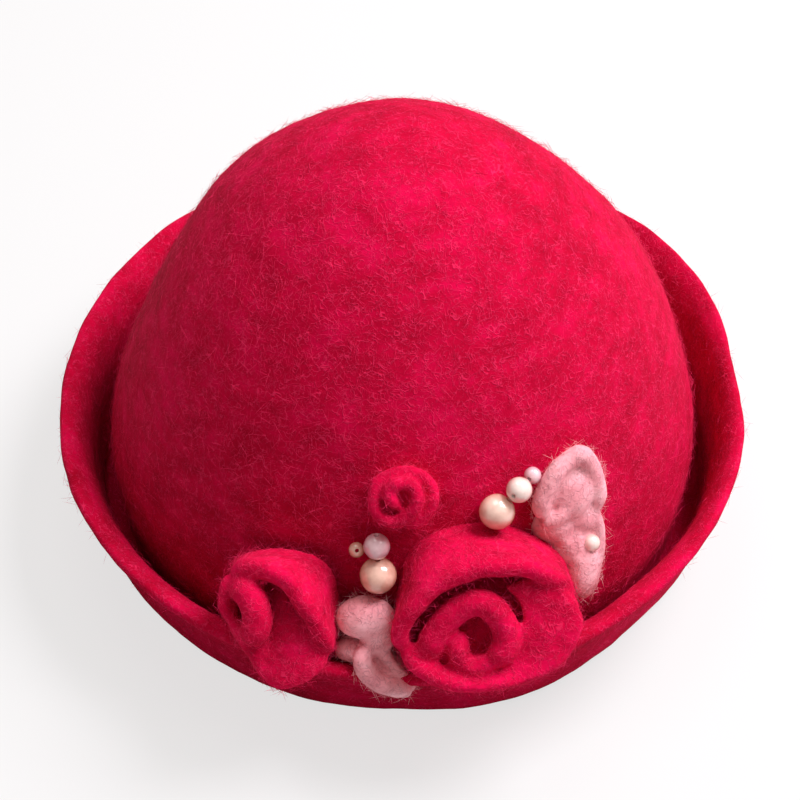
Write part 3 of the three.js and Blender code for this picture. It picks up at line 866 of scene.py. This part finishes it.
def grow_fuzz(source, name, weight, slot, **values):
    """A piece of loose fibres over a felt piece: weight gives each of its points a share of the density."""
    mesh = source.data.copy()
    piece = link(bpy.data.objects.new(name, mesh))
    shares = mesh.attributes.new("fuzz", "FLOAT", "POINT")
    shares.data.foreach_set("value", weight(points_of(mesh), normals_of(mesh)).astype(np.float32))
    tree = bpy.data.node_groups.get("Wool fibres") or fuzz_tree()
    scatter = piece.modifiers.new("Wool fibres", "NODES")
    scatter.node_group = tree
    sockets = [item for item in tree.interface.items_tree if item.in_out == "INPUT"]
    identifiers = {socket.name: socket.identifier for socket in sockets}
    for key, value in values.items():
        scatter[identifiers[key]] = value
    scatter[identifiers["Material"]] = bpy.data.materials[FIBRES[slot]]
    evaluated(piece)
    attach(piece, BODY)


CROWN_REACH = 92 * MM  # the crown's fibres stand nearer to the hat's axis than this
CROWN_LOW = 18 * MM  # and above this, where the gutter narrows
BRIM_REACH = 91 * MM  # the brim's fibres stand further from the axis than this
BRIM_LOW = 9 * MM  # and above this, so that none touches the floor
FIBRES = {"crimson_felt": "Crimson wool fibre", "pink_felt": "Pink wool fibre"}


def on_crown(co, out):
    """The crown's outer side, down to where the gutter narrows."""
    outer = (co[:, 0] * out[:, 0] + co[:, 1] * out[:, 1] > 0) | (out[:, 2] > 0.5)
    return outer * (np.hypot(co[:, 0], co[:, 1]) < CROWN_REACH) * (co[:, 2] > CROWN_LOW)


def on_brim(co, out):
    """Both sides of the brim, clear of the floor."""
    return (np.hypot(co[:, 0], co[:, 1]) > BRIM_REACH) * (co[:, 2] > BRIM_LOW)


def all_over(co, out):
    return np.ones(len(co))


class FELTHAT_OT_fuzz(bpy.types.Operator):
    """Grow loose wool fibres out of the felt"""

    bl_idname = "felthat.fuzz"
    bl_label = "Wool fibres"

    def execute(self, context):
        settings = context.scene.felthat_fuzz
        growths = [
            # piece, felt, where, slot, fibres a square metre, length in mm, lift in radians
            ("crown_fibres", "felt_body", on_crown, "crimson_felt", 280000, 5.0, 0.12),
            ("crown_down", "felt_body", on_crown, "crimson_felt", 150000, 3.4, 0.2),
            ("brim_fibres", "felt_body", on_brim, "crimson_felt", 180000, 4.0, 0.08),
        ]
        for node, _, slot in FLOWERS:
            growths.append((node + "_fibres", node + "_felt", all_over, slot, 850000, 3.8, 0.15))
        for seed, (name, felted, where, slot, density, length, lift) in enumerate(growths):
            grow_fuzz(
                bpy.data.objects[felted],
                name,
                where,
                slot,
                Density=float(density),
                Length=length * MM,
                Thickness=settings.thickness,
                Lift=lift,
                Seed=seed,
            )
        return {"FINISHED"}


# ------------------------------------------------------------------------------------------ pearls
PEARLS = (
    # packed bead, finish, the bead that its hole points to
    ("pearl_left_large", "Champagne pearl", "pearl_left_medium"),
    ("pearl_left_medium", "Rose pearl", "pearl_left_large"),
    ("pearl_left_small", "Champagne pearl", ""),
    ("pearl_right_large", "Cream pearl", "pearl_right_medium"),
    ("pearl_right_medium", "Ivory pearl", "pearl_right_small"),
    ("pearl_right_small", "Rose pearl", "pearl_right_medium"),
    ("pearl_blossom", "Ivory pearl", ""),
)

# Where the holes of the beads that stand alone point.
HOLES = {"pearl_left_small": (0.1, -0.75, 0.7), "pearl_blossom": (1.0, 0.5, 0.2)}

BORE = 0.55 * MM  # half the width of a bead's hole


def bead_mesh(name, radius, bore, sides=48, steps=28):
    """A drilled round bead about the Z axis, its bore of a given radius open at both ends."""
    profile = []
    start = math.asin(bore / radius)
    for i in range(steps + 1):
        angle = start + (math.pi - 2 * start) * i / steps
        profile.append((radius * math.sin(angle), radius * math.cos(angle)))
    shape = bmesh.new()
    rings = []
    for r, z in profile:
        rings.append(
            [
                shape.verts.new((r * math.cos(a), r * math.sin(a), z))
                for a in (math.tau * k / sides for k in range(sides))
            ]
        )
    count = len(rings)
    for i in range(count):
        upper, lower = rings[i], rings[(i + 1) % count]
        for k in range(sides):
            shape.faces.new((upper[k], lower[k], lower[(k + 1) % sides], upper[(k + 1) % sides]))
    bmesh.ops.recalc_face_normals(shape, faces=shape.faces)
    mesh = bpy.data.meshes.new(name)
    shape.to_mesh(mesh)
    shape.free()
    return mesh


class FELTHAT_OT_pearls(bpy.types.Operator):
    """Make the drilled pearl beads"""

    bl_idname = "felthat.pearls"
    bl_label = "Pearl beads"

    def execute(self, context):
        for node, finish, other in PEARLS:
            low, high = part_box(node)
            centre = (low + high) / 2
            radius = (high.z - low.z) / 2
            if other:
                its_low, its_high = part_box(other)
                axis = (its_low + its_high) / 2 - centre
            else:
                axis = Vector(HOLES[node])
            mesh = bead_mesh(node + "_bead", radius, BORE)
            turn = Vector((0, 0, 1)).rotation_difference(axis.normalized()).to_matrix().to_4x4()
            mesh.transform(Matrix.Translation(centre) @ turn)
            bead = link(bpy.data.objects.new(node + "_bead", mesh))
            dress(bead, bpy.data.materials[finish], node)
        return {"FINISHED"}


# ------------------------------------------------------------------------------------------ stage
def facing(place, target):
    return (Vector(target) - Vector(place)).to_track_quat("-Z", "Y").to_euler()


FLOOR_HALF = 3.0
FULL_FRAME = 36.0  # width of the camera's sensor in mm
CAMERA_PLACE = (0.0, -0.3819, 0.4096)
CAMERA_TARGET = (-0.0006, 0.0, 0.0316)
LIGHTS = (
    # name, place, size, watts, colour
    ("Key", (0.62, 0.18, 0.98), 0.6, 20.0, "#fffaff"),
    ("Top", (-0.15, 0.25, 1.1), 0.5, 2.0, "#fffaf6"),
)


class FELTHAT_OT_stage(bpy.types.Operator):
    """Set the pale floor, the soft lights and the camera"""

    bl_idname = "felthat.stage"
    bl_label = "Studio"

    def execute(self, context):
        scene = context.scene
        floor = bpy.data.meshes.new("floor")
        corners = [(x * FLOOR_HALF, y * FLOOR_HALF, 0) for x, y in ((-1, -1), (1, -1), (1, 1), (-1, 1))]
        floor.from_pydata(corners, [], [(0, 1, 2, 3)])
        ground = link(bpy.data.objects.new("floor", floor))
        ground.data.materials.append(bpy.data.materials["Floor paper"])
        for name, place, size, watts, colour in LIGHTS:
            lamp = bpy.data.lights.new(name, "AREA")
            lamp.energy = watts
            lamp.size = size
            lamp.color = linear(colour)[:3]
            light = link(bpy.data.objects.new(name, lamp))
            light.location = place
            light.rotation_euler = facing(place, CAMERA_TARGET)
        world = bpy.data.worlds.new("Studio")
        world.use_nodes = True
        background = world.node_tree.nodes["Background"]
        background.inputs["Color"].default_value = linear("#fff2ec")
        background.inputs["Strength"].default_value = 0.4
        scene.world = world
        camera = bpy.data.cameras.new("Camera")
        camera.lens = scene.felthat_stage.lens
        camera.sensor_width = FULL_FRAME
        viewer = link(bpy.data.objects.new("Camera", camera))
        viewer.location = CAMERA_PLACE
        viewer.rotation_euler = facing(CAMERA_PLACE, CAMERA_TARGET)
        scene.camera = viewer
        scene.view_settings.view_transform = "Standard"
        return {"FINISHED"}


FELTS = (
    # dye, how softly its clouds pass into each other, how much its matted fibres show
    ("crimson", 0.21, 0.45),
    # rose: the crimson felt more magenta, and lighter as painted light on the roses
    ("rose", 0.15, 0.45),
    ("pink", 0.14, 0.3),
)


class FELTHAT_OT_finishes(bpy.types.Operator):
    """Make the felts, the fibres and the pearl finishes"""

    bl_idname = "felthat.finishes"
    bl_label = "Finishes"

    def execute(self, context):
        dyes = context.scene.felthat_dyes
        for colour, mottle, strand_share in FELTS:
            shades = [getattr(dyes, f"{colour}_{part}") for part in ("deep", "middle", "bright", "strand")]
            felt(f"{colour.title()} wool felt", *shades, mottle, strand_share)
        fibre("Crimson wool fibre", "#c4043c", "#fa3a70")
        fibre("Pink wool fibre", "#e59aa4", "#fbc4c9")
        # Each pearl's first colour is painted shade and a painted reflection of the red felt at its rim.
        # The second is its colour where it faces the eye.
        pearl("Champagne pearl", "#b0604a", "#ffd3bf")
        pearl("Rose pearl", "#b06a80", "#fbd6dc")
        pearl("Cream pearl", "#c07a64", "#ffe0cf")
        pearl("Ivory pearl", "#c48a80", "#ffebe2")
        paper("Floor paper", "#f7f7f7", "#c4c4c4")
        return {"FINISHED"}


class FELTHAT_PT_panel(bpy.types.Panel):
    """The hat's steps, in the order in which they are made"""

    bl_idname = "FELTHAT_PT_panel"
    bl_label = "Felt Hat"
    bl_space_type = "VIEW_3D"
    bl_region_type = "UI"
    bl_category = "Felt Hat"

    def draw(self, context):
        for operator in OPERATORS:
            self.layout.operator(operator.bl_idname)


OPERATORS = (
    FELTHAT_OT_finishes,
    FELTHAT_OT_body,
    FELTHAT_OT_flowers,
    FELTHAT_OT_fuzz,
    FELTHAT_OT_pearls,
    FELTHAT_OT_stage,
)
SETTINGS = {
    "felthat_felt": FeltSettings,
    "felthat_dyes": DyeSettings,
    "felthat_fuzz": FuzzSettings,
    "felthat_stage": StageSettings,
}


def register():
    for group in SETTINGS.values():
        bpy.utils.register_class(group)
    for name, group in SETTINGS.items():
        setattr(bpy.types.Scene, name, bpy.props.PointerProperty(type=group))
    for operator in OPERATORS:
        bpy.utils.register_class(operator)
    bpy.utils.register_class(FELTHAT_PT_panel)


def unregister():
    bpy.utils.unregister_class(FELTHAT_PT_panel)
    for operator in reversed(OPERATORS):
        bpy.utils.unregister_class(operator)
    for name in SETTINGS:
        delattr(bpy.types.Scene, name)
    for group in SETTINGS.values():
        bpy.utils.unregister_class(group)


def main():
    register()
    for operator in OPERATORS:
        group, name = operator.bl_idname.split(".")
        if getattr(getattr(bpy.ops, group), name)() != {"FINISHED"}:
            raise RuntimeError(f"{operator.bl_label} could not be made")


if __name__ == "__main__":
    main()
